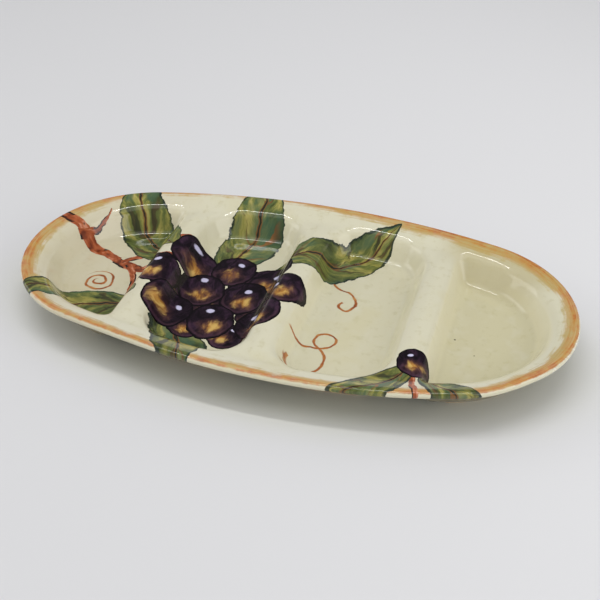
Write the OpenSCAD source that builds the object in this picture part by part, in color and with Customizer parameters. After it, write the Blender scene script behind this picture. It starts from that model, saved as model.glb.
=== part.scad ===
// Relish tray: an oval dish of glazed earthenware with four wells side by side.
// Lengths are in millimetres. The origin is under the middle of the tray, on the
// surface that it stands on. X runs along the tray, Y to its rear and Z up.
// Every wall is one section, carried round an outline of arcs.

/* [Outline] */
// Length of the tray over its rim
tray_l = 420; // [390:5:440]
// Width of the tray over its rim
tray_w = 220; // [210:1:230]
// How far each side bows out beyond the rounded ends
side_bow = 16; // [10:1:22]

/* [Rim] */
// Thickness of the rim at its rounded edge
lip_t = 5.5; // [4.5:0.5:6.5]
// Width of the painted lip
lip_w = 8; // [6:0.5:9]
// Drop of the lip's top from its edge to where the flange begins
lip_drop = 1; // [0.5:0.25:2]
// Width of the whole rim, from its edge over lip and flange to the shoulder
rim_w = 13; // [11.5:0.5:18]
// Height of the rim's top above the shoulder
rim_rise = 5.5; // [3:0.5:8]

/* [Shoulder] */
// Width of the flat shoulder in front of and behind the middle wells
side_ledge = 2; // [1:0.5:8]
// Width of the flat shoulder round the end wells
end_ledge = 0.5; // [0.5:0.5:4]

/* [Wells] */
// How much shorter an end well is than a middle well, over their shoulder bends
end_well_less = 3.5; // [0:0.5:12]
// Depth of the wells below the shoulder
well_depth = 19.5; // [16:0.5:26]
// Slope of the well walls from the horizontal, in degrees
wall_slope = 72; // [62:1:78]
// Radius of the corners of the floors in the middle wells, in plan
middle_corner_r = 15; // [10:1:20]
// Radius of the corners of the floors in the end wells, in plan
end_corner_r = 7; // [6:1:16]
// Radius of the bend from the shoulder into a well
shoulder_r = 8; // [7:0.5:10]
// Radius of the bend from a wall to the floor
floor_r = 6.5; // [4:0.5:9]
// Thickness of the fired body in walls, floors and shoulder
body_t = 5.5; // [4.5:0.5:6.5]

/* [Dividers] */
// Width of a divider between the shoulder bends of its two wells
divider_w = 9; // [7:1:16]
// Rise of a divider's rounded crest above the shoulder
crest_rise = 1; // [0.5:0.25:2]

/* [Foot rings] */
// Width of a foot ring
foot_w = 4.5; // [3:0.5:5.5]
// Height of the foot rings
foot_h = 5.5; // [3:0.5:8]
// Distance from the bend of the wall to the foot ring
foot_inset = 1; // [0.5:0.25:1.5]

/* [Hidden] */

glaze_colour = "#e3dcc4";
band_colour = "#c98a4b";
bisque_colour = "#d8bfa2";

// Heights of the levels above the surface that the tray stands on
floor_z = foot_h + body_t;
shoulder_z = floor_z + well_depth;
rim_z = shoulder_z + rim_rise;

// The rim's outline has two end arcs and two side arcs, all tangent to each other
end_r = tray_w / 2 - side_bow;
end_x = tray_l / 2 - end_r;
side_r = (end_x * end_x + tray_w * tray_w / 4 - end_r * end_r) / (tray_w - 2 * end_r);
side_y = side_r - tray_w / 2;
side_angle = atan2(side_y, end_x);

// The middle wells keep to the side arcs, and the end wells follow the end arcs
side_inset = rim_w + side_ledge;
end_inset = rim_w + end_ledge;

// A middle well and an end well share the half of the tray beside the centre divider
middle_x0 = divider_w / 2;
half_room = tray_l / 2 - end_inset - middle_x0 - divider_w;
middle_well_l = (half_room + end_well_less) / 2;
middle_x1 = middle_x0 + middle_well_l;
divider_pitch = middle_well_l + divider_w;
end_x0 = middle_x1 + divider_w;
end_well_l = half_room - middle_well_l;

// Distance from the edge of a well to the flat of its floor, and to its foot ring
bend_sum = shoulder_r + floor_r;
wall_run = (well_depth - bend_sum * (1 - cos(wall_slope))) / tan(wall_slope);
floor_u = bend_sum * sin(wall_slope) + wall_run;
foot_u = floor_u + foot_inset;

// Radius of a well's corners at its edge. A short well keeps them a little under half
// its length.
corner_share = 0.46;
middle_turn_r = min(middle_corner_r + floor_u, corner_share * middle_well_l);
end_turn_r = min(end_corner_r + floor_u, corner_share * end_well_l);

// Steps in each rounded bend of a section
bend_steps = 4;
// Largest turn and longest step between two neighbouring stations of an outline
turn_step = 8;
run_step = 14;

// Points along an arc of a section
function arc(centre, r, from, to) = [
    for (i = [0 : bend_steps])
        let (t = from + (to - from) * i / bend_steps)
            centre + r * [cos(t), sin(t)]
];

// An outline is a list of arcs, run anticlockwise:
// [centre, radius, first angle, last angle, whether a straight edge follows]
rim_outline = [
    [[end_x, 0], end_r, -side_angle, side_angle, false],
    [[0, -side_y], side_r, side_angle, 180 - side_angle, false],
    [[-end_x, 0], end_r, 180 - side_angle, 180 + side_angle, false],
    [[0, side_y], side_r, 180 + side_angle, 360 - side_angle, false]
];

// The rear half of a well's outline, mirrored to the front and followed backwards.
// It ends in a straight edge where the rear half starts with one.
function front(rear, straight) = [
    for (i = [len(rear) - 1 : -1 : 0])
        let (a = rear[i])
            [[a[0].x, -a[0].y], a[1], 360 - a[3], 360 - a[2], straight && i == 0]
];

// Distance from the long axis to the centre of a corner that touches a side arc
function corner_y(x, r, inset) = sqrt(pow(side_r - inset - r, 2) - x * x) - side_y;

// Middle well: a corner, a side arc and a corner behind, and the same in front
middle_xa = middle_x0 + middle_turn_r;
middle_xb = middle_x1 - middle_turn_r;
middle_ya = corner_y(middle_xa, middle_turn_r, side_inset);
middle_yb = corner_y(middle_xb, middle_turn_r, side_inset);
middle_ta = atan2(middle_ya + side_y, middle_xa);
middle_tb = atan2(middle_yb + side_y, middle_xb);
middle_rear = [
    [[middle_xb, middle_yb], middle_turn_r, 0, middle_tb, false],
    [[0, -side_y], side_r - side_inset, middle_tb, middle_ta, false],
    [[middle_xa, middle_ya], middle_turn_r, middle_ta, 180, true]
];

// End well: its corners touch the end arc, or the side arcs where the well is long
end_well_r = end_r - end_inset;
end_xc = end_x0 + end_turn_r;
end_reach = end_xc - end_x;
end_arc_y = sqrt(max(0, pow(end_well_r - end_turn_r, 2) - end_reach * end_reach));
end_arc_t = atan2(end_arc_y, end_reach);
end_on_arc = end_arc_t <= side_angle;
end_yc = end_on_arc ? end_arc_y : corner_y(end_xc, end_turn_r, end_inset);
end_tc = end_on_arc ? end_arc_t : atan2(end_yc + side_y, end_xc);
end_rear = concat(
    [[[end_x, 0], end_well_r, 0, min(end_arc_t, side_angle), false]],
    end_on_arc ? [] : [[[0, -side_y], side_r - end_inset, side_angle, end_tc, false]],
    [[[end_xc, end_yc], end_turn_r, end_tc, 180, true]]
);

// The straight part of each divider, where both of its wells have a straight edge
centre_reach = middle_ya;
outer_reach = min(middle_yb, end_yc);

// Stations along an outline, each with its point and the direction straight in from it
function steps(a) = ceil(max((a[3] - a[2]) / turn_step, a[1] * (a[3] - a[2]) * PI / 180 / run_step));
function stations(outline) = [
    for (a = outline)
        for (i = [0 : steps(a) - (a[4] ? 0 : 1)])
            let (t = a[2] + (a[3] - a[2]) * i / steps(a), out = [cos(t), sin(t)])
                [a[0] + a[1] * out, -out]
];
function plan(line, u) = [for (s = line) s[0] + u * s[1]];

rim_line = stations(rim_outline);
middle_line = stations(concat(middle_rear, front(middle_rear, true)));
end_line = stations(concat(end_rear, front(end_rear, false)));

// A section is a list of [distance inside the outline, height]
// A wall's section runs from the floor up to the shoulder, and back below to the underside
wall_section = concat(
    arc([floor_u, floor_r - well_depth], floor_r, 270, 270 - wall_slope),
    arc([0, -shoulder_r], shoulder_r, 90 - wall_slope, 90),
    arc([0, -shoulder_r], shoulder_r - body_t, 90, 90 - wall_slope),
    arc([floor_u, floor_r - well_depth], floor_r + body_t, 270 - wall_slope, 270)
);

// Heights of the rim's faces below its top, where the lip meets the flange
lip_r = lip_t / 2;
lip_share = (lip_w - lip_r) / (rim_w - lip_r);
lip_under = lip_drop + lip_t + (body_t - lip_t) * lip_share;

// Skin over the rings that a section makes round an outline. The last ring joins the first.
module skin(line, section) {
    n = len(line);
    m = len(section);
    points = [
        for (p = section)
            for (s = line)
                let (q = s[0] + p.x * s[1]) [q.x, q.y, p.y]
    ];
    sides = [
        for (i = [0 : m - 1])
            for (j = [0 : n - 1])
                let (
                    a = i * n + j, b = i * n + (j + 1) % n,
                    c = ((i + 1) % m) * n + (j + 1) % n, d = ((i + 1) % m) * n + j
                )
                    each [[a, b, c], [a, c, d]]
    ];
    polyhedron(points, sides, convexity = 8);
}

// Wall of a well, with its bends to the shoulder and to the floor
module wall(line) {
    color(glaze_colour)
        translate([0, 0, shoulder_z])
            skin(line, wall_section);
}

// Flat floor of a well
module floor_plate(line) {
    color(glaze_colour)
        translate([0, 0, foot_h])
            linear_extrude(body_t)
                polygon(plan(line, floor_u));
}

module foot(line) {
    color(bisque_colour)
        linear_extrude(foot_h)
            difference() {
                polygon(plan(line, foot_u));
                polygon(plan(line, foot_u + foot_w));
            }
}

// Lip: the outer part of the sloping rim, with a half-round edge, under the painted band
module rim_lip() {
    section = concat(
        [[lip_w, -lip_drop]],
        arc([lip_r, -lip_r], lip_r, 90, 270),
        [[lip_w, -lip_under]]
    );
    color(band_colour)
        translate([0, 0, rim_z])
            skin(rim_line, section);
}

// Rest of the sloping rim, down to the shoulder
module rim_flange() {
    section = [
        [rim_w, -rim_rise], [lip_w, -lip_drop],
        [lip_w, -lip_under], [rim_w, -rim_rise - body_t]
    ];
    color(glaze_colour)
        translate([0, 0, rim_z])
            skin(rim_line, section);
}

module divider_plan(x, reach) {
    translate([x - divider_w / 2, -reach])
        square([divider_w, 2 * reach]);
}

// Flat shoulder round the wells, with its corners between neighbouring wells
module shoulder_ring() {
    color(glaze_colour)
        translate([0, 0, shoulder_z - body_t])
            linear_extrude(body_t)
                difference() {
                    polygon(plan(rim_line, rim_w));
                    for (side = [0, 1])
                        mirror([side, 0]) {
                            polygon(plan(middle_line, 0));
                            polygon(plan(end_line, 0));
                            divider_plan(divider_pitch, outer_reach);
                        }
                    divider_plan(0, centre_reach);
                }
}

// Crest between two wells, hollow below like the rest of the body
module divider(x, reach) {
    half = divider_w / 2;
    crest_r = (half * half + crest_rise * crest_rise) / (2 * crest_rise);
    crest_t = asin(half / crest_r);
    top = arc([0, crest_rise - crest_r], crest_r, 90 - crest_t, 90 + crest_t);
    color(glaze_colour)
        translate([x, reach, shoulder_z])
            rotate([90, 0, 0])
                linear_extrude(2 * reach)
                    polygon(concat(top, [[-half, -body_t], [half, -body_t]]));
}

module left_divider() { divider(-divider_pitch, outer_reach); }
module centre_divider() { divider(0, centre_reach); }
module right_divider() { divider(divider_pitch, outer_reach); }

module left_end_wall() { mirror([1, 0, 0]) wall(end_line); }
module left_middle_wall() { mirror([1, 0, 0]) wall(middle_line); }
module right_middle_wall() { wall(middle_line); }
module right_end_wall() { wall(end_line); }

module left_end_floor() { mirror([1, 0, 0]) floor_plate(end_line); }
module left_middle_floor() { mirror([1, 0, 0]) floor_plate(middle_line); }
module right_middle_floor() { floor_plate(middle_line); }
module right_end_floor() { floor_plate(end_line); }

module left_end_foot() { mirror([1, 0, 0]) foot(end_line); }
module left_middle_foot() { mirror([1, 0, 0]) foot(middle_line); }
module right_middle_foot() { foot(middle_line); }
module right_end_foot() { foot(end_line); }

rim_lip();
rim_flange();
shoulder_ring();
left_divider();
centre_divider();
right_divider();
left_end_wall();
left_middle_wall();
right_middle_wall();
right_end_wall();
left_end_floor();
left_middle_floor();
right_middle_floor();
right_end_floor();
left_end_foot();
left_middle_foot();
right_middle_foot();
right_end_foot();
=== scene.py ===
# Looks of the relish tray: one fired, glazed and painted body over the CAD frame.
# The tray's surfaces are worked out in millimetres and stored in metres.
import math

import bpy
import numpy as np
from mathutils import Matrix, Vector
from mathutils.geometry import delaunay_2d_cdt


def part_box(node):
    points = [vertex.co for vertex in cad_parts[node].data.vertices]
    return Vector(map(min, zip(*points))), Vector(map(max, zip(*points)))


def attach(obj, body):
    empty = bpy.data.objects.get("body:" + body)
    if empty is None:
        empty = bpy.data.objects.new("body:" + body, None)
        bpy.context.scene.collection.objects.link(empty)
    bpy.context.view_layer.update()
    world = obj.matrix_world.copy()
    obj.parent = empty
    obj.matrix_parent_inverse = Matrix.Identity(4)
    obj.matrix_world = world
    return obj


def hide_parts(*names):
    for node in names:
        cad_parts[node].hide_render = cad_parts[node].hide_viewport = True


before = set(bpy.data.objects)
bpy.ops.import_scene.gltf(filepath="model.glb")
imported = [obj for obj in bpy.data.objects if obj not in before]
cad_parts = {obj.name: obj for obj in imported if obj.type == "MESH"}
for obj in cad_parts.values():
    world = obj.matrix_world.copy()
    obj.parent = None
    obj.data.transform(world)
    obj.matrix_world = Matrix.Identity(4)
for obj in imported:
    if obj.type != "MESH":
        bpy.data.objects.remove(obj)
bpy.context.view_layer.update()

MM = 0.001

# ---------------------------------------------------------------- sizes, in millimetres


def node_box(name):
    lo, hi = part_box(name)
    return np.array(lo) / MM, np.array(hi) / MM


middle_lo, middle_hi = node_box("right_middle_wall")
end_lo, end_hi = node_box("right_end_wall")
floor_lo, floor_hi = node_box("right_middle_floor")

tray_l, tray_w = 420.0, 220.0
rim_z = node_box("rim_lip")[1][2]
shoulder_z = node_box("shoulder_ring")[1][2]
floor_z = floor_hi[2]
body_t = floor_hi[2] - floor_lo[2]
middle_x0, middle_x1 = middle_lo[0], middle_hi[0]
end_x0, end_x1 = end_lo[0], end_hi[0]
well_depth = shoulder_z - floor_z
side_bow = 16.0                 # how far the long sides swell beyond the end arcs
lip_r = 5.5 / 2
side_inset = 15.0               # from the rim's outline to the wells, at the sides
end_inset = tray_l / 2 - end_x1
shoulder_r, floor_r = 8.0, 6.5  # bends at the top and the foot of a well's wall
wall_slope = math.radians(72)
glazed_slope = math.radians(63)
glaze_fill = 2.5                # what the glaze adds to the radius at a wall's foot
middle_turn_r, end_turn_r = 31.9, 16.0
end_well_x = 148.0

end_r = tray_w / 2 - side_bow
end_x = tray_l / 2 - end_r
side_r = (end_x ** 2 + tray_w ** 2 / 4 - end_r ** 2) / (tray_w - 2 * end_r)
side_y = side_r - tray_w / 2
side_angle = math.atan2(side_y, end_x)
divider_x = (middle_x1 + end_x0) / 2
divider_w = end_x0 - middle_x1
crest_spread = 2.0              # how far a crest runs on beyond each side of its divider
crest_fade = 22                 # length over which a crest fades out at the rim

# The rim's slope starts and fades out at these distances inside the outline
slope_starts, slope_fades, slope_reach = (lip_r, 6.5), (14, 26), 40

# Sag and draw of the rim in front: x of the middle, half length, amount
SAG = (70, 75, 2.3)
DRAWS = ((-105, 50, 2.6), (185, 22, 3.0))

# ---------------------------------------------------------------- the tray's surface


def smooth(a, b, v):
    t = np.clip((v - a) / (b - a), 0, 1)
    return t * t * (3 - 2 * t)


def rim_depth(x, y):
    """Distance inside the rim's outline."""
    ax, ay = np.abs(x), np.abs(y)
    on_end = np.arctan2(ay, ax - end_x) <= side_angle
    return np.where(on_end, end_r - np.hypot(ax - end_x, ay),
                    side_r - np.hypot(ax, ay + side_y))


def round_min(a, b, r):
    """The smaller of two distances, with the corner between them rounded to r."""
    return (np.maximum(r, np.minimum(a, b))
            - np.hypot(np.maximum(r - a, 0), np.maximum(r - b, 0)))


def middle_depth(x, y):
    """Distance inside the edge of the middle well on the right."""
    across = np.minimum(x - middle_x0, middle_x1 - x)
    return round_min(across, rim_depth(x, y) - side_inset, middle_turn_r)


def end_depth(x, y):
    """Distance inside the edge of the end well on the right."""
    return round_min(x - end_x0, rim_depth(x, y) - end_inset, end_turn_r)


# Each well: its depth as a well on the right, the side it is on, and x of its middle
WELLS = [(depth, side, side * x) for side in (1, -1)
         for depth, x in ((middle_depth, (middle_x0 + middle_x1) / 2), (end_depth, end_well_x))]

# The faces of the wells: slope, top radius, floor radius. The glaze softens the upper one.
UPPER_WALL = (glazed_slope, shoulder_r, floor_r + glaze_fill)
UNDER_WALL = (wall_slope, shoulder_r - body_t, floor_r + body_t)


def wall_reach(slope, top_r, low_r):
    """Width in plan of a wall's face, from the edge of its well to the flat floor."""
    bend_drop = (top_r + low_r) * (1 - math.cos(slope))
    return (top_r + low_r) * math.sin(slope) + (well_depth - bend_drop) / math.tan(slope)


def wall_drop(u, slope, top_r, low_r):
    """How far a wall's face lies below the shoulder, u inside the edge of its well."""
    reach = wall_reach(slope, top_r, low_r)
    u = np.clip(u, 0, reach)
    a, b = top_r * math.sin(slope), reach - low_r * math.sin(slope)
    bend = top_r - np.sqrt(np.maximum(top_r ** 2 - np.minimum(u, a) ** 2, 0))
    wall = np.clip(u - a, 0, b - a) * math.tan(slope)
    foot = (np.sqrt(np.maximum(low_r ** 2 - (reach - np.maximum(u, b)) ** 2, 0))
            - low_r * math.cos(slope))
    return bend + wall + foot


# The rim slopes down evenly from its lip and flattens out inside the wells' bends
slope_d = np.linspace(0, slope_reach, 10 * slope_reach + 1)
slope = smooth(*slope_starts, slope_d) * (1 - smooth(*slope_fades, slope_d))
slope_sum = np.append(0, np.cumsum((slope[1:] + slope[:-1]) / 2))


def rim_rise(d):
    """Height of rim and shoulder above the shoulder's level, d inside the outline."""
    return (rim_z - shoulder_z) * (1 - np.interp(d, slope_d, slope_sum / slope_sum[-1]))


def crest(x, d):
    """Rise of the dividers' crests, which fade out towards the rim."""
    rise = 0.0
    for axis in (-divider_x, 0, divider_x):
        off = np.abs(x - axis) / (divider_w / 2 + crest_spread)
        rise = rise + np.maximum(1 - off * off, 0) ** 2
    return rise * smooth(side_inset, side_inset + crest_fade, d)


def heights(x, y, upper):
    """Height of the tray's upper face or of its underside."""
    d = rim_depth(x, y)
    z = shoulder_z + rim_rise(d) + crest(x, d)
    for depth, side, _ in WELLS:
        z = z - wall_drop(depth(side * x, y), *(UPPER_WALL if upper else UNDER_WALL))
    return z if upper else z - body_t


def swell(x, middle, half, amount):
    return amount * np.exp(-((x - middle) / half) ** 2)


def warp(points):
    """The small sag and draw of the fired rim, which only its front has."""
    x, y, z = points.T
    at_front = smooth(10, 70, -y)
    at_rim = 1 - smooth(6, 60, rim_depth(x, y))
    sag = swell(x, *SAG) * at_front * at_rim
    draw = sum(swell(x, *drawn) for drawn in DRAWS) * at_front * at_rim
    lifted = smooth(floor_z, shoulder_z, z)
    return np.stack([x, y + draw * lifted, z - sag * lifted], 1)


# ---------------------------------------------------------------- the tray's mesh

WELL_REACH = 130.0     # more than any well reaches from its middle
HALVINGS = 40
ROUND = 3000           # directions tried round a well
ROW = 0.866            # height of a triangle whose sides are 1
CLEAR = 0.6            # gap between a grid and a ring, in steps of the grid


def rim_stations(count):
    """Points at even steps along the rim's outline, and the directions straight in."""
    arcs = [((end_x, 0), end_r, -side_angle, side_angle),
            ((0, -side_y), side_r, side_angle, math.pi - side_angle),
            ((-end_x, 0), end_r, math.pi - side_angle, math.pi + side_angle),
            ((0, side_y), side_r, math.pi + side_angle, 2 * math.pi - side_angle)]
    lengths = [r * (t1 - t0) for _, r, t0, t1 in arcs]
    total = sum(lengths)
    points, inward = [], []
    for i in range(count):
        s = total * i / count
        for (centre, r, t0, _), length in zip(arcs, lengths):
            if s < length:
                t = t0 + s / r
                break
            s -= length
        out = np.array([math.cos(t), math.sin(t)])
        points.append(np.array(centre) + r * out)
        inward.append(-out)
    return np.array(points), np.array(inward)


def rim_along(x, y):
    """Distance along the rim's outline to a point's place on it, and its whole length."""
    end_run, side_run = 2 * side_angle * end_r, (math.pi - 2 * side_angle) * side_r
    on_end = np.arctan2(np.abs(y), np.abs(x) - end_x) <= side_angle
    turn = np.arctan2(np.where(x < 0, -y, y), np.abs(x) - end_x)
    end = (turn + side_angle) * end_r + np.where(x < 0, end_run + side_run, 0)
    turn = np.arctan2(np.abs(y) + side_y, np.where(y < 0, -x, x))
    side = (turn - side_angle) * side_r + end_run + np.where(y < 0, end_run + side_run, 0)
    return np.where(on_end, end, side), 2 * (end_run + side_run)


def well_ring(well, level, angles):
    """Points round a well where its depth has the given level."""
    depth, side, cx = well
    lo, hi = np.zeros_like(angles), np.full_like(angles, WELL_REACH)
    for _ in range(HALVINGS):
        mid = (lo + hi) / 2
        inside = depth(side * (cx + mid * np.cos(angles)), mid * np.sin(angles)) > level
        lo, hi = np.where(inside, mid, lo), np.where(inside, hi, mid)
    return np.stack([cx + lo * np.cos(angles), lo * np.sin(angles)], 1)


def even_angles(well, step):
    """Directions from a well's centre that meet its edge at even steps."""
    angles = np.linspace(0, 2 * math.pi, ROUND, endpoint=False)
    ring = well_ring(well, 0.0, angles)
    run = np.append(0, np.cumsum(np.hypot(*(np.roll(ring, -1, 0) - ring).T)))
    count = int(run[-1] / step)
    return np.interp(np.arange(count) * run[-1] / count, run, np.append(angles, 2 * math.pi))


def hex_grid(x0, x1, y0, y1, step):
    rows = []
    for j, y in enumerate(np.arange(y0, y1, step * ROW)):
        xs = np.arange(x0 + (j % 2) * step / 2, x1, step)
        rows.append(np.stack([xs, np.full_like(xs, y)], 1))
    return np.concatenate(rows)


def triangulate(points, edges):
    out = delaunay_2d_cdt([Vector(p) for p in points], edges, [], 0, 1e-6, True)
    verts, faces, source = out[0], out[2], out[3]
    index = [s[0] for s in source]
    assert len(verts) == len(points) and all(len(s) == 1 for s in source)
    return np.array([[index[v] for v in f] for f in faces])


def ring_edges(start, n):
    return [(start + i, start + (i + 1) % n) for i in range(n)]


def plan_mesh(rim_levels, well_step, levels, crest_step, floor_step):
    """A plan of the whole tray inside the lip: points, and triangles turned upwards."""
    base, inward = rim_stations(RIM_COUNT)
    points, faces, total = [], [], 0

    def add(p):
        nonlocal total
        points.append(p)
        total += len(p)
        return np.arange(total - len(p), total)

    def strip(a, b):
        a1, b1 = np.roll(a, -1), np.roll(b, -1)
        faces.append(np.stack([a, a1, b1], 1))
        faces.append(np.stack([a, b1, b], 1))

    rim = [add(base + d * inward) for d in rim_levels]
    for a, b in zip(rim, rim[1:]):
        strip(a, b)
    # Each well: rings down its wall, then a grid on its floor
    loose, edge_sets = [rim[-1]], []
    for well in WELLS:
        depth, side, cx = well
        angles = even_angles(well, well_step)
        rings = [add(well_ring(well, u, angles)) for u in levels]
        for a, b in zip(rings, rings[1:]):
            strip(a, b)
        loose.append(rings[0])
        edge_sets.append(set(rings[0].tolist()))
        floor = hex_grid(cx - 60, cx + 60, -90, 90, floor_step)
        deep = depth(side * floor[:, 0], floor[:, 1]) > levels[-1] + floor_step * CLEAR
        inner = np.concatenate([rings[-1], add(floor[deep])])
        local = triangulate(np.concatenate(points)[inner], ring_edges(0, len(rings[-1])))
        faces.append(inner[local])
    # A grid between the rim and the wells, without the triangles that would lie over a well
    grid = hex_grid(-200, 200, -100, 100, crest_step)
    clear = rim_depth(*grid.T) > rim_levels[-1] + crest_step * CLEAR
    for depth, side, _ in WELLS:
        clear &= depth(side * grid[:, 0], grid[:, 1]) < levels[0] - crest_step * CLEAR
    start, edges = 0, []
    for ring in loose:
        edges += ring_edges(start, len(ring))
        start += len(ring)
    order = np.concatenate(loose + [add(grid[clear])])
    made = order[triangulate(np.concatenate(points)[order], edges)]
    kept = [f for f in made.tolist() if not any(set(f) <= ring for ring in edge_sets)]
    faces.append(np.array(kept))
    points, faces = np.concatenate(points), np.concatenate(faces)
    a, b, c = (points[faces[:, k]] for k in range(3))
    cross = (b - a)[:, 0] * (c - a)[:, 1] - (b - a)[:, 1] * (c - a)[:, 0]
    faces[cross < 0] = faces[cross < 0][:, ::-1]
    return points, faces[np.abs(cross) > 1e-9], rim[0]


def bend_levels(wall, top_steps, wall_steps, low_steps):
    """Levels of the rings down a wall: round its top bend, straight, round its foot."""
    slope, top_r, low_r = wall
    top = top_r * np.sin(np.linspace(0, slope, top_steps + 1))
    low = wall_reach(*wall) - low_r * np.sin(np.linspace(slope, 0, low_steps + 1))
    middle = np.linspace(top[-1], low[0], wall_steps + 1)[1:-1]
    return np.concatenate([top, middle, low])


# How fine the mesh is: stations round the rim, steps round the lip, and both faces
RIM_COUNT = 560
LIP_STEPS = 14
UPPER_GRAIN = {"rim_levels": lip_r + 1.2 * np.arange(8), "well_step": 1.7,
               "levels": bend_levels(UPPER_WALL, 8, 3, 7), "crest_step": 1.5,
               "floor_step": 2.5}
UNDER_GRAIN = {"rim_levels": lip_r + 1.9 * np.arange(5), "well_step": 2.4,
               "levels": bend_levels(UNDER_WALL, 4, 2, 7), "crest_step": 2.6,
               "floor_step": 4.0}


def tray_mesh():
    """Points and triangles of the tray, and each point's distance in from the lip's edge."""
    up, up_faces, up_edge = plan_mesh(**UPPER_GRAIN)
    low, low_faces, low_edge = plan_mesh(**UNDER_GRAIN)
    base, inward = rim_stations(RIM_COUNT)
    top = np.column_stack([up, heights(*up.T, True)])
    under = np.column_stack([low, heights(*low.T, False)])
    points, faces = [top, under], [up_faces, low_faces[:, ::-1] + len(top)]
    # Distance over the surface from the lip's outermost line, and less than nothing below it
    quarter = lip_r * math.pi / 2
    edge = [quarter - lip_r + rim_depth(*up.T), lip_r - quarter - rim_depth(*low.T)]
    # The half-round lip joins the outermost rings of both
    ring, total = up_edge, len(top) + len(under)
    for k, t in enumerate(np.radians(np.linspace(90, 270, LIP_STEPS + 1))[1:]):
        if k < LIP_STEPS - 1:
            line = base + inward * (lip_r + lip_r * math.cos(t))
            z = np.full(len(line), rim_z - lip_r + lip_r * math.sin(t))
            points.append(np.column_stack([line, z]))
            edge.append(np.full(len(line), lip_r * (math.pi - t)))
            following = np.arange(total, total + len(line))
            total += len(line)
        else:
            following = low_edge + len(top)
        a, b, a1, b1 = ring, following, np.roll(ring, -1), np.roll(following, -1)
        faces += [np.stack([a, b1, a1], 1), np.stack([a, b, b1], 1)]
        ring = following
    return np.concatenate(points), np.concatenate(faces), np.concatenate(edge)


def make_object(name, points, faces, material, scale=MM):
    mesh = bpy.data.meshes.new(name)
    mesh.vertices.add(len(points))
    mesh.vertices.foreach_set("co", (points * scale).astype(np.float32).ravel())
    mesh.loops.add(faces.size)
    mesh.loops.foreach_set("vertex_index", faces.astype(np.int32).ravel())
    mesh.polygons.add(len(faces))
    starts = np.arange(0, faces.size, faces.shape[1], dtype=np.int32)
    mesh.polygons.foreach_set("loop_start", starts)
    mesh.update(calc_edges=True)
    mesh.validate()
    mesh.shade_smooth()
    mesh.materials.append(material)
    made = bpy.data.objects.new(name, mesh)
    bpy.context.scene.collection.objects.link(made)
    return made


# ---------------------------------------------------------------- materials


def new_material(name):
    material = bpy.data.materials.new(name)
    material.use_nodes = True
    tree = material.node_tree
    return material, tree, tree.nodes["Principled BSDF"]


def srgb(r, g, b):
    """A linear colour, from its sRGB values out of 255."""
    return tuple(((c / 255 + 0.055) / 1.055) ** 2.4 if c > 10 else c / 3294.6
                 for c in (r, g, b)) + (1,)


def stops(*stations):
    """Stops of a ramp, each written as its place and its sRGB values."""
    return [(at, srgb(r, g, b)) for at, r, g, b in stations]


FLAT = (1, 1, 0)
SOFT = 0.35            # half the soft edge of a thin stroke, in millimetres


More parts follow.
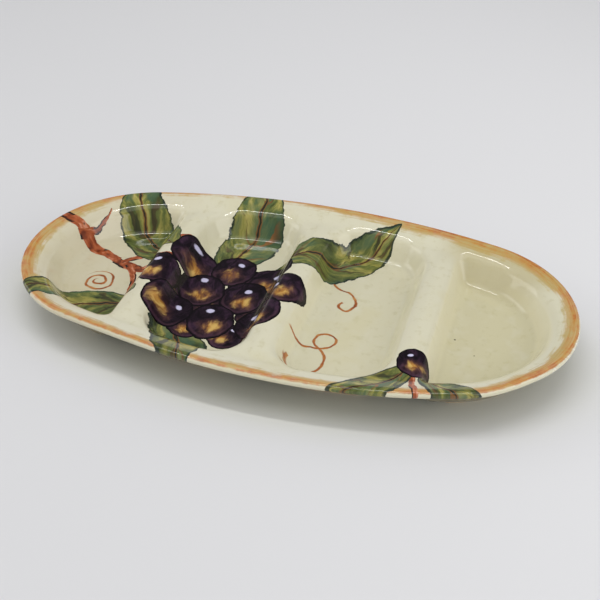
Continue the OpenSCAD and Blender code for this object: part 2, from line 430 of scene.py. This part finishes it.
class Graph:
    """Short calls that add the nodes of a material."""

    def __init__(self, tree):
        self.tree = tree

    def node(self, kind, inputs=(), **settings):
        made = self.tree.nodes.new("ShaderNode" + kind)
        for key, value in settings.items():
            setattr(made, key, value)
        for key, value in dict(inputs).items():
            if isinstance(value, bpy.types.NodeSocket):
                self.tree.links.new(value, made.inputs[key])
            elif value is not None:
                made.inputs[key].default_value = value
        return made

    def math(self, operation, a, b=None, clamp=False):
        return self.node("Math", {0: a, 1: b}, operation=operation, use_clamp=clamp).outputs[0]

    def add(self, a, b):
        return self.math("ADD", a, b)

    def sub(self, a, b):
        return self.math("SUBTRACT", a, b)

    def mul(self, a, b):
        return self.math("MULTIPLY", a, b)

    def least(self, a, b):
        return self.math("MINIMUM", a, b)

    def most(self, a, b):
        return self.math("MAXIMUM", a, b)

    def size(self, a):
        return self.math("ABSOLUTE", a)

    def sway(self, value, amount, middle=0.5):
        """A value's departure from its middle, times amount."""
        return self.mul(self.sub(value, middle), amount)

    def step(self, value, low, high, to_low=0.0, to_high=1.0):
        """A soft step from to_low to to_high while value goes from low to high."""
        return self.node("MapRange", {0: value, 1: low, 2: high, 3: to_low, 4: to_high},
                         interpolation_type="SMOOTHSTEP").outputs[0]

    def stroke(self, depth):
        """1 inside a thin stroke and 0 outside it, with a soft edge."""
        return self.step(depth, -SOFT, SOFT)

    def below_arch(self, v, share, rise):
        """v measured from an arch that stands rise high in the middle of share 0 to 1."""
        return self.sub(v, self.mul(self.mul(share, self.sub(1.0, share)), 4 * rise))

    def vector(self, x=0.0, y=0.0, z=0.0):
        return self.node("CombineXYZ", {0: x, 1: y, 2: z}).outputs[0]

    def parts(self, vector):
        return self.node("SeparateXYZ", {0: vector}).outputs

    def vmath(self, operation, a, b):
        return self.node("VectorMath", {0: a, 1: b}, operation=operation).outputs[0]

    def length(self, vector):
        return self.node("VectorMath", {0: vector}, operation="LENGTH").outputs["Value"]

    def flat_length(self, vector, scale=FLAT):
        """Length of a vector in plan."""
        return self.length(self.vmath("MULTIPLY", vector, scale))

    def millimetres(self):
        """A point's place on its object, in millimetres."""
        place = self.node("TexCoord").outputs["Object"]
        return self.vmath("MULTIPLY", place, (1 / MM, 1 / MM, 1 / MM))

    def noise(self, vector, scale, detail=2.0, rough=0.5, stretch=None, twist=0.0, output=0):
        if stretch:
            vector = self.vmath("MULTIPLY", vector, stretch)
        return self.node("TexNoise", {"Vector": vector, "Scale": scale, "Detail": detail,
                                      "Roughness": rough, "Distortion": twist}).outputs[output]

    def mix(self, t, a, b):
        """Colour a where t is 0 and b where it is 1."""
        return self.node("Mix", {0: t, 6: a, 7: b}, data_type="RGBA",
                         clamp_factor=True).outputs[2]

    def vmix(self, t, a, b):
        return self.node("Mix", {0: t, 4: a, 5: b}, data_type="VECTOR",
                         clamp_factor=True).outputs[1]

    def fmix(self, t, a, b):
        return self.node("Mix", {0: t, 2: a, 3: b}, data_type="FLOAT",
                         clamp_factor=True).outputs[0]

    def tint(self, colour, other, value, low, high, share=1.0):
        """Colour moved towards other by share, while value goes from low to high."""
        return self.mix(self.step(value, low, high, 0.0, share), colour, other)

    def ramp(self, t, ramp_stops):
        made = self.node("ValToRGB", {0: t})
        elements = made.color_ramp.elements
        while len(elements) < len(ramp_stops):
            elements.new(0.5)
        for element, (at, colour) in zip(elements, ramp_stops):
            element.position, element.color = at, colour
        return made.outputs[0]

    def local(self, vector, x, y, turn, sx, sy, seed):
        """Coordinates from x, y, turned and in units of sx and sy; their z is the seed."""
        return self.node("Mapping", {"Vector": vector, "Location": (x, y, -seed),
                                     "Rotation": (0, 0, turn), "Scale": (sx, sy, 1)},
                         vector_type="TEXTURE").outputs[0]


# The motifs' places in plan, in millimetres. Leaves: base, tip, half width, bow.
LEAVES = [
    ((-104, 26), (-166, 106), 33, 0.30), ((-26, 32), (64, 100), 30, -0.30),
    ((-66, 28), (-54, 126), 36, -0.20), ((-108, -34), (-192, -74), 27, -0.30),
    ((-86, -42), (-44, -126), 31, 0.30), ((106, -68), (54, -112), 20, 0.30),
    ((112, -74), (174, -98), 19, -0.30)]
# Plums, from the back to the front: middle, half width, half height, turn
PLUMS = [
    ((-72, 16), 16, 18, 0.3), ((-38, 17), 16, 18, -0.3), ((-20, -20), 16, 18, 0.4),
    ((-88, -18), 16, 18, 0.0), ((-56, -19), 16, 18, 0.2), ((-66, -46), 14, 16, 0.5),
    ((-32, -50), 14, 15, -0.4), ((-24, 22), 17.5, 20, -0.5), ((-86, 25), 18, 20, 0.3),
    ((-55, 29), 17.5, 20.5, 0.0), ((-4, -5), 17, 20, 0.6), ((-103, -8), 17, 20, 0.2),
    ((-36, -2), 18, 21, -0.2), ((-70, -2), 18, 21, 0.25), ((-14, -35), 17, 20, 0.5),
    ((-84, -35), 17, 20.5, -0.4), ((-50, -37), 18, 21, 0.1), ((106, -62), 12, 14, 0.3)]
# Twigs: start, end, half widths at both, bow
TWIGS = [
    ((-218, 34), (-150, 17), 5.2, 4.4, 4.0), ((-153, 17), (-92, 10), 4.4, 3.2, -4.0),
    ((-146, 16), (-120, 52), 2.6, 1.7, -4.0), ((-126, 11), (-94, 42), 2.4, 1.6, 4.0),
    ((-138, 14), (-122, -34), 2.8, 1.6, 5.0), ((-186, 24), (-172, 58), 2.0, 0.8, -4.0),
    ((122, -114), (108, -72), 2.6, 1.8, 3.0)]


def tendril(x, y, heading, *turns):
    """Arcs that follow each other: middle, radius, direction of the arc's middle, half reach."""
    arcs = []
    for radius, sweep in turns:
        side = math.copysign(math.pi / 2, sweep)
        cx, cy = x + radius * math.cos(heading + side), y + radius * math.sin(heading + side)
        start = heading - side
        arcs.append(((cx, cy), radius, start + sweep / 2, abs(sweep) / 2 + 0.02))
        x, y = cx + radius * math.cos(start + sweep), cy + radius * math.sin(start + sweep)
        heading += sweep
    return arcs


CURLS = (tendril(14, -40, -0.5, (30, 0.9), (7.5, 5.3), (20, -1.7), (12, -2.6))
         + tendril(20, 44, -1.2, (26, 0.9), (16, -1.5), (6, -3.6)))
CURL_HALF = 1.0
# The spiral: middle, turn, radii of its ends, and distance between its rounds
SPIRAL_X, SPIRAL_Y, SPIRAL_TURN = -152, -14, 0.6
SPIRAL_LOW, SPIRAL_HIGH, SPIRAL_PITCH = 2.0, 13.0, 6.0
# Specks in the right end well: x, y, radius
SPECKS = [(126.0, -5.0, 0.75), (142.0, -19.0, 0.5)]
TREMBLE = (5.5, 5.5, 0)

IVORY, OLIVE = srgb(212, 208, 184), srgb(204, 198, 165)
STRAW, SAND_HUE, CREAM = srgb(184, 176, 132), srgb(204, 196, 154), srgb(212, 208, 186)
THIN_GLAZE_AND_LIGHT, DULL_GLAZE, OCHRE_HAZE = srgb(224, 218, 188), srgb(196, 180, 152), srgb(180, 168, 124)
CHIPPED = srgb(232, 228, 216)
STRIPE = stops((0.30, 162, 86, 36), (0.42, 186, 116, 50), (0.52, 188, 142, 70),
               (0.68, 184, 158, 94))
UNDERSIDE_PAINTED_SHADE = stops((0.35, 122, 114, 92), (0.62, 144, 136, 112))
RUST = stops((0.35, 130, 66, 36), (0.5, 162, 94, 50), (0.68, 186, 130, 74))
WOOD = stops((0.32, 108, 50, 30), (0.45, 152, 76, 42), (0.56, 172, 94, 58),
             (0.66, 200, 136, 106))
WOOD_SHADE = srgb(40, 27, 22)
GREEN = stops((0.30, 38, 44, 28), (0.41, 70, 80, 42), (0.50, 102, 110, 58),
              (0.57, 144, 140, 72), (0.66, 178, 166, 98))
BLUE_GREEN, YELLOW_GREEN = srgb(66, 96, 74), srgb(156, 146, 70)
VEINS = stops((0.40, 46, 48, 34), (0.52, 84, 62, 40), (0.64, 152, 96, 50))
RIB_SIDES, RIB, LEAF_OUTLINE = srgb(124, 84, 46), srgb(40, 44, 32), srgb(34, 46, 40)
SKIN = stops((0.34, 16, 10, 16), (0.52, 32, 21, 32), (0.68, 60, 40, 58))
WARM_SKIN = stops((0.40, 74, 46, 56), (0.62, 122, 84, 70))
AMBER = stops((0.36, 212, 176, 100), (0.50, 180, 128, 60), (0.64, 116, 74, 44))
RIM_LIGHT, DAB, PLUM_OUTLINE = srgb(104, 70, 84), srgb(200, 196, 224), srgb(14, 9, 14)
SCATTERED_SPECK, PLACED_SPECK = srgb(70, 54, 44), srgb(62, 50, 42)
CLAY = stops((0.38, 176, 146, 114), (0.50, 200, 174, 142), (0.62, 216, 194, 164))

glaze, tree, bsdf = new_material("painted_glaze")
g = Graph(tree)
place = g.millimetres()
px, py, height = g.parts(place)
edge = g.node("Attribute", attribute_name="edge").outputs["Fac"]
along = g.node("Attribute", attribute_name="along").outputs["Fac"]

broad = g.noise(place, 0.028, 3.0, 0.55)
fine = g.noise(place, 0.16, 3.0, 0.6)
grain = g.noise(place, 0.9, 2.0, 0.6)

# Bare glaze: ivory on the crests, deeper and more olive where it has run into the wells
pooled = g.step(g.add(height, g.sway(broad, 14.0)), 26.0, 12.0)
pooled = g.mul(pooled, g.step(px, 95.0, 115.0, 0.35, 1.0))
colour = g.mix(pooled, IVORY, OLIVE)
colour = g.tint(colour, STRAW, fine, 0.52, 0.75, 0.35)
colour = g.tint(colour, SAND_HUE, broad, 0.52, 0.7, 0.35)
cloudy = g.noise(place, 0.07, 2.0, 0.5, twist=0.2)
colour = g.tint(colour, CREAM, cloudy, 0.5, 0.72, 0.4)

# It is painted paler on steep faces: partly thinner glaze, partly painted light that offsets the
# shade on the wells' walls
steep_thin_and_lit = g.step(g.size(g.parts(g.node("TexCoord").outputs["Normal"])[2]), 0.92, 0.45)
colour = g.mix(g.mul(steep_thin_and_lit, 0.5), colour, THIN_GLAZE_AND_LIGHT)

# A warmer, duller glaze at the left end, and an ochre haze inside the stripe at the rear right
colour = g.tint(colour, DULL_GLAZE, g.add(px, g.sway(broad, 60.0)), -90.0, -150.0, 0.3)
haze = g.mul(g.step(edge, 44.0, 12.0), g.mul(g.step(px, 90.0, 120.0), g.step(py, 36.0, 60.0)))
colour = g.mix(g.mul(haze, 0.65), colour, OCHRE_HAZE)

# The brushed stripe round the rim: ochre under orange, streaked along its length
streaks = g.noise(g.vector(g.mul(along, 0.03), g.mul(edge, 0.55), 0.0), 1.0, 4.0, 0.6)
wander = g.noise(g.vector(g.mul(along, 0.016), 0.0, 3.0), 1.0, 2.0, 0.6)
rear_right = g.mul(g.step(px, 10.0, 90.0), g.step(py, 30.0, 80.0))
rear_left = g.mul(g.step(px, 40.0, -60.0), g.step(py, 60.0, 95.0))
left_end = g.mul(g.step(px, -150.0, -190.0), g.step(py, 70.0, 20.0))
right_end = g.step(px, 165.0, 190.0)
# Its inner edge wanders, and lies farther in at the ends and at the rear right
inner = g.add(g.step(wander, 0.32, 0.66, 8.0, 12.0),
              g.most(g.mul(g.most(rear_right, left_end), 3.0), right_end))
inner = g.sub(inner, g.add(g.mul(rear_left, 4.0), g.step(py, -50.0, -90.0, 0.0, 2.6)))
inner = g.add(inner, g.sway(fine, 6.0))
band = g.step(g.add(g.sub(inner, edge), g.sway(streaks, 13.0)), -2.5, 2.5)
outer = g.add(2.4, g.sway(fine, 2.0))
band = g.mul(band, g.step(g.sub(edge, outer), -0.8, 0.5))
tone = g.add(g.add(g.mul(streaks, 0.5), g.mul(fine, 0.5)), g.sway(edge, 0.018, 5.5))
tone = g.add(tone, g.sway(wander, 0.45, 0.52))
stripe = g.ramp(tone, STRIPE)
colour = g.mix(g.mul(band, g.step(streaks, 0.25, 0.7, 1.0, 0.78)), colour, stripe)

# Small chips worn through the stripe at the right end
chips = g.noise(g.vector(g.mul(along, 0.55), g.mul(edge, 0.5), 5.0), 1.0, 1.0, 0.5)
worn = g.mul(g.step(px, 185.0, 200.0), g.step(g.size(g.sub(edge, 0.5)), 2.2, 1.2))
colour = g.mix(g.mul(g.step(chips, 0.56, 0.60), worn), colour, CHIPPED)

# Darker, greener glaze below the lip and on the underside: painted shade, which deepens the
# shadow under the rim
colour = g.mix(g.step(edge, -3.2, -5.6), colour, g.ramp(fine, UNDERSIDE_PAINTED_SHADE))

# A slight tremble in every painted outline, and no painting on the underside
tremble = g.noise(place, 0.075, 2.0, 0.5, output="Color")
tremble = g.vmath("MULTIPLY", g.vmath("SUBTRACT", tremble, (0.5, 0.5, 0.5)), TREMBLE)
flat = g.vmath("MULTIPLY", g.vmath("ADD", place, tremble), FLAT)
painted = g.step(edge, -9.0, -6.0)

# Curls and a spiral: thin strokes on arcs, under everything else
curl = 0.0
for i, ((x, y), radius, toward, reach) in enumerate(CURLS):
    at = g.local(flat, x, y, toward, 1, 1, i)
    far = g.flat_length(at)
    inside = g.sub(g.parts(at)[0], g.mul(far, math.cos(reach)))
    half = g.add(CURL_HALF, g.sway(fine, 1.6))
    deep = g.least(g.sub(half, g.size(g.sub(far, radius))), g.add(inside, 0.3))
    curl = g.most(curl, g.stroke(deep))
at = g.local(flat, SPIRAL_X, SPIRAL_Y, SPIRAL_TURN, 1, 1, 0)
u, v, _ = g.parts(at)
far = g.flat_length(at)
turns = g.sub(g.math("DIVIDE", far, SPIRAL_PITCH),
              g.math("DIVIDE", g.math("ARCTAN2", v, u), 2 * math.pi))
off = g.mul(g.math("PINGPONG", turns, 0.5), SPIRAL_PITCH)
ends = g.least(g.sub(far, SPIRAL_LOW), g.sub(SPIRAL_HIGH, far))
curl = g.most(curl, g.stroke(g.least(g.sub(CURL_HALF, off), ends)))
colour = g.mix(g.mul(curl, painted), colour, g.ramp(fine, RUST))

# Twigs: twig_at runs along them, from edge to edge, and by twig
twig_mask, twig_at = 0.0, (0.0, 0.0, 0.0)
for i, ((x0, y0), (x1, y1), h0, h1, bow) in enumerate(TWIGS):
    span = math.hypot(x1 - x0, y1 - y0)
    at = g.local(flat, x0, y0, math.atan2(y1 - y0, x1 - x0), 1, 1, i + 1)
    u, v, seed = g.parts(at)
    share = g.mul(u, 1 / span)
    v = g.below_arch(v, share, bow)
    half = g.add(g.add(h0, g.mul(share, h1 - h0)), g.sway(fine, 1.6))
    deep = g.least(g.sub(half, g.size(v)), g.least(u, g.sub(span, u)))
    ink = g.math("GREATER_THAN", deep, 0.0)
    twig_mask = g.most(twig_mask, ink)
    twig_at = g.vmix(ink, twig_at, g.vector(g.mul(u, 0.06), g.math("DIVIDE", v, half), seed))
bark = g.noise(twig_at, 2.2, 2.0, 0.5, stretch=(1.0, 0.45, 1.0))
wood = g.ramp(bark, WOOD)
side = g.size(g.parts(twig_at)[1])
patch = g.noise(twig_at, 1.7, 1.0, 0.5, stretch=(1.0, 0.25, 2.0))
wood = g.mix(g.mul(g.step(side, 0.3, 0.7), g.step(patch, 0.50, 0.44)), wood, WOOD_SHADE)
colour = g.mix(g.mul(twig_mask, painted), colour, wood)

# Leaves: u runs from base to tip and q from edge to edge
leaf_mask, leaf_at, leaf_deep = 0.0, (0.0, 0.0, 0.0), 0.0
for i, ((x0, y0), (x1, y1), half, bow) in enumerate(LEAVES):
    span = math.hypot(x1 - x0, y1 - y0)
    at = g.local(flat, x0, y0, math.atan2(y1 - y0, x1 - x0), span, half, 1.7 * i + 2)
    u, v, seed = g.parts(at)
    u = g.math("ADD", u, 0.0, clamp=True)
    v = g.below_arch(v, u, bow)
    width = g.mul(g.math("POWER", u, 0.55), g.math("POWER", g.sub(1.0, u), 0.75))
    width = g.mul(g.mul(width, 1.62), g.add(1.0, g.sway(fine, 0.24)))
    width = g.sub(width, 0.03)
    deep = g.mul(g.sub(width, g.size(v)), half)
    ink = g.math("GREATER_THAN", deep, 0.1)
    leaf_mask = g.most(leaf_mask, ink)
    q = g.math("DIVIDE", v, g.most(width, 0.05))
    leaf_at = g.vmix(ink, leaf_at, g.vector(u, q, seed))
    leaf_deep = g.fmix(ink, leaf_deep, deep)
u, q, seed = g.parts(leaf_at)
fan = g.sub(u, g.mul(g.size(q), 0.22))
brush = g.noise(g.vector(g.mul(fan, 5.5), q, seed), 1.0, 5.0, 0.66, twist=0.5)
wash = g.noise(g.vector(g.mul(u, 2.4), g.mul(q, 1.3), seed), 1.0, 2.0, 0.5)
green = g.ramp(brush, GREEN)
green = g.tint(green, BLUE_GREEN, wash, 0.48, 0.62, 0.72)
green = g.tint(green, YELLOW_GREEN, wash, 0.42, 0.30, 0.5)
veins = g.math("PINGPONG", g.add(g.mul(fan, 3.4), wash), 0.5)
vein_ink = g.mul(g.step(g.add(veins, g.sway(brush, 0.6)), 0.11, 0.03),
                 g.mul(g.step(g.size(q), 0.95, 0.6), g.step(u, 0.06, 0.16)))
green = g.mix(g.mul(vein_ink, 0.8), green, g.ramp(wash, VEINS))
rib = g.add(g.size(g.mul(q, 24.0)), g.sway(brush, 6.0))
green = g.tint(green, RIB_SIDES, rib, 2.6, 1.5)
green = g.tint(green, RIB, rib, 1.5, 0.7)
green = g.tint(green, LEAF_OUTLINE, g.add(leaf_deep, g.sway(broad, 7.0)), 2.6, 1.0, 0.9)
colour = g.mix(g.mul(leaf_mask, painted), colour, green)

# Plums: unit discs, each turned a little
plum_mask, plum_at = 0.0, (0.0, 0.0, 0.0)
for i, ((x, y), a, b, turn) in enumerate(PLUMS):
    at = g.local(flat, x, y, turn, a, b, 2.3 * i + 1)
    ink = g.math("LESS_THAN", g.flat_length(at), 1.0)
    plum_mask = g.most(plum_mask, ink)
    plum_at = g.vmix(ink, plum_at, at)
u, v, seed = g.parts(plum_at)
far = g.flat_length(plum_at)
skin = g.noise(plum_at, 2.4, 4.0, 0.6, stretch=(1.0, 0.6, 1.0), twist=0.6)
fruit = g.ramp(skin, SKIN)
# A warm glow with brushed amber in its middle
glow_u = g.add(u, g.sway(g.math("FRACT", g.mul(seed, 0.53)), 0.5, 0.35))
glow_far = g.length(g.vector(glow_u, g.mul(g.add(v, 0.28), 1.25), 0.0))
dry = g.noise(plum_at, 2.8, 3.0, 0.55, stretch=(1.0, 0.6, 1.0), twist=0.4)
warm = g.step(g.add(glow_far, g.sway(dry, 0.7)), 0.80, 0.20)
fruit = g.mix(g.mul(warm, 0.62), fruit, g.ramp(skin, WARM_SKIN))
glow = g.step(g.add(glow_far, g.sway(dry, 1.1)), 0.52, 0.06)
fruit = g.mix(g.mul(glow, 0.9), fruit, g.ramp(dry, AMBER))
rim_light = g.mul(g.step(far, 0.74, 0.86),
                  g.mul(g.step(far, 0.95, 0.88), g.step(v, 0.1, -0.7)))
fruit = g.mix(g.mul(rim_light, 0.28), fruit, RIM_LIGHT)
# A pale dab, which lies elsewhere on each
dab_u = g.add(u, g.sway(g.math("FRACT", g.mul(seed, 0.37)), 0.35))
dab_v = g.sub(v, g.add(0.36, g.mul(g.math("FRACT", g.mul(seed, 0.71)), 0.3)))
dab_far = g.flat_length(g.vector(dab_u, dab_v, 0.0), (1.0, 1.35, 0))
fruit = g.tint(fruit, DAB, g.add(dab_far, g.sway(grain, 0.06)), 0.19, 0.11)
fruit = g.tint(fruit, PLUM_OUTLINE, far, 0.86, 0.98)
colour = g.mix(g.mul(plum_mask, painted), colour, fruit)

# A few iron specks in the glaze
speck = g.node("TexVoronoi", {"Vector": place, "Scale": 0.028}).outputs["Distance"]
speck = g.mul(g.step(speck, 0.022, 0.014, 0.0, 0.8), g.step(px, 110.0, 90.0))
colour = g.mix(speck, colour, SCATTERED_SPECK)
for x, y, r in SPECKS:
    far = g.flat_length(g.vmath("SUBTRACT", place, (x, y, 0)))
    colour = g.tint(colour, PLACED_SPECK, far, r + 0.2, r - 0.2, 0.85)

# The plums' gloss is calmer, as their dark paint would mirror the pale walls too plainly
roughness = g.add(g.step(fine, 0.3, 0.7, 0.03, 0.08), g.mul(plum_mask, 0.07))
tree.links.new(colour, bsdf.inputs["Base Color"])
bsdf.inputs["IOR"].default_value = 1.5
tree.links.new(g.step(plum_mask, 0.0, 1.0, 0.5, 0.16), bsdf.inputs["Specular IOR Level"])
tree.links.new(roughness, bsdf.inputs["Roughness"])
bump = g.node("Bump", {"Height": g.add(g.mul(broad, 3.0), g.mul(fine, 0.12)),
                       "Strength": 0.13, "Distance": 0.0004})
tree.links.new(bump.outputs[0], bsdf.inputs["Normal"])

# Bare fired clay of the foot rings
bisque, tree, bsdf = new_material("bisque")
g = Graph(tree)
place = g.millimetres()
clay = g.noise(place, 0.22, 3.0, 0.6)
sand = g.noise(place, 2.4, 2.0, 0.6)
tree.links.new(g.ramp(g.add(g.mul(clay, 0.6), g.mul(sand, 0.4)), CLAY),
               bsdf.inputs["Base Color"])
bsdf.inputs["Roughness"].default_value = 0.85
bump = g.node("Bump", {"Height": sand, "Strength": 0.4, "Distance": 0.0002})
tree.links.new(bump.outputs[0], bsdf.inputs["Normal"])

# ---------------------------------------------------------------- pieces

# Where the measure along the rim starts and ends: under a leaf, which hides the jump
RUN_START = 1015.0

points, faces, edge = tray_mesh()
run, rim_run = rim_along(*points.T[:2])
tray = make_object("tray_body", warp(points), faces, glaze)
data = tray.data
values = data.attributes.new("edge", "FLOAT", "POINT").data
values.foreach_set("value", edge.astype(np.float32))
# The measure along the rim is kept by corner, so that no triangle spans its jump
corners = np.empty(len(data.loops), np.int32)
data.loops.foreach_get("vertex_index", corners)
corner = (run[corners.reshape(-1, 3)] - RUN_START) % rim_run
farther = corner.max(1, keepdims=True) - corner > rim_run / 2
corner = np.where(farther, corner + rim_run, corner)
values = data.attributes.new("along", "FLOAT", "CORNER").data
values.foreach_set("value", corner.astype(np.float32).ravel())
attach(tray, "root")
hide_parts("rim_lip", "rim_flange", "shoulder_ring", "left_divider", "centre_divider",
            "right_divider", "left_end_wall", "left_middle_wall", "right_middle_wall",
            "right_end_wall", "left_end_floor", "left_middle_floor", "right_middle_floor",
            "right_end_floor")

for name in ("left_end_foot", "left_middle_foot", "right_middle_foot", "right_end_foot"):
    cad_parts[name].material_slots[0].material = bisque

# ---------------------------------------------------------------- stage, light, camera

BACKDROP = 0.68        # its brightness round the horizon
OVERHEAD = 0.2         # and overhead, where it is dim like a studio's ceiling
AMBIENT = 0.475        # what it gives as light
FLOOR_HALF = 4.0


def shown(g):
    """1 where the backdrop is seen, straight or in a reflection, and 0 where it lights."""
    path = g.node("LightPath").outputs
    mirrored = g.most(path["Is Glossy Ray"], path["Is Transmission Ray"])
    return g.most(path["Is Camera Ray"], mirrored)


floor_material, tree, bsdf = new_material("pale_floor")
g = Graph(tree)
place = g.node("TexCoord").outputs["Object"]
x, y, _ = g.parts(place)
# Painted light: the floor is paler towards the rear and the right, which evens out the lamps'
# falloff
painted_falloff = g.step(g.add(g.mul(x, 1 / 0.6), g.mul(y, 1 / 0.7)), -0.8, 1.2)
colour = g.mix(painted_falloff, srgb(212, 212, 214), srgb(229, 229, 231))
# The ground right under the tray is painted a little olive: painted bounce light from the tray,
# which tints its shadow
painted_bounce_reach = g.flat_length(place, (1 / 0.21, 1 / 0.11, 0))
colour = g.tint(colour, srgb(216, 217, 206), painted_bounce_reach, 1.25, 0.8)
tree.links.new(colour, bsdf.inputs["Base Color"])
bsdf.inputs["Roughness"].default_value = 0.7
# Far from the tray the floor runs into the backdrop, with no line between them
paper = g.node("Emission", {"Color": (BACKDROP, BACKDROP, BACKDROP * 1.01, 1)})
away = g.mul(g.step(g.length(place), 1.1, 2.6), shown(g))
joined = g.node("MixShader", {0: away, 1: bsdf.outputs[0], 2: paper.outputs[0]})
tree.links.new(joined.outputs[0], tree.nodes["Material Output"].inputs["Surface"])
square = np.array([(-1, -1, 0), (1, -1, 0), (1, 1, 0), (-1, 1, 0)]) * FLOOR_HALF
floor = make_object("floor", square, np.array([[0, 1, 2, 3]]), floor_material, 1.0)

world = bpy.data.worlds.new("studio")
world.use_nodes = True
bpy.context.scene.world = world
tree = world.node_tree
g = Graph(tree)
background = tree.nodes["Background"].inputs
background["Color"].default_value = (1, 1, 1, 1)
upward = g.parts(g.node("TexCoord").outputs["Generated"])[2]
seen = g.step(upward, 0.08, 0.26, BACKDROP, OVERHEAD)
tree.links.new(g.fmix(shown(g), AMBIENT, seen), background["Strength"])


def area_light(name, place, target, width, height, power):
    data = bpy.data.lights.new(name, "AREA")
    data.shape = "RECTANGLE"
    data.size, data.size_y = width, height
    data.energy = power
    light = bpy.data.objects.new(name, data)
    light.location = place
    light.rotation_euler = (Vector(target) - light.location).to_track_quat("-Z", "Y").to_euler()
    bpy.context.scene.collection.objects.link(light)


area_light("key", (0.4, -0.5, 1.85), (0.4, 0, 0), 3.2, 0.9, 8.5)
area_light("strip", (-0.2, -0.03, 1.9), (-0.2, -0.03, 0), 1.6, 0.06, 9.5)
area_light("left_window", (-1.6, -0.2, 0.75), (0, 0, 0), 1.2, 0.9, 6.0)
area_light("right_window", (1.5, -0.7, 0.8), (0, 0, 0), 1.5, 1.0, 9.5)

camera = bpy.data.objects.new("camera", bpy.data.cameras.new("camera"))
camera.data.sensor_width = 36.0
camera.data.lens = 60.0
camera.data.shift_x = 0.01734
camera.data.shift_y = -0.0369
camera.data.clip_start = 0.05
camera.location = (0.1798, -0.5793, 0.4590)
aim = Vector((0, 0, 0.036)) - camera.location
camera.rotation_euler = aim.to_track_quat("-Z", "Y").to_euler()
bpy.context.scene.collection.objects.link(camera)
bpy.context.scene.camera = camera
bpy.context.scene.view_settings.view_transform = "Standard"
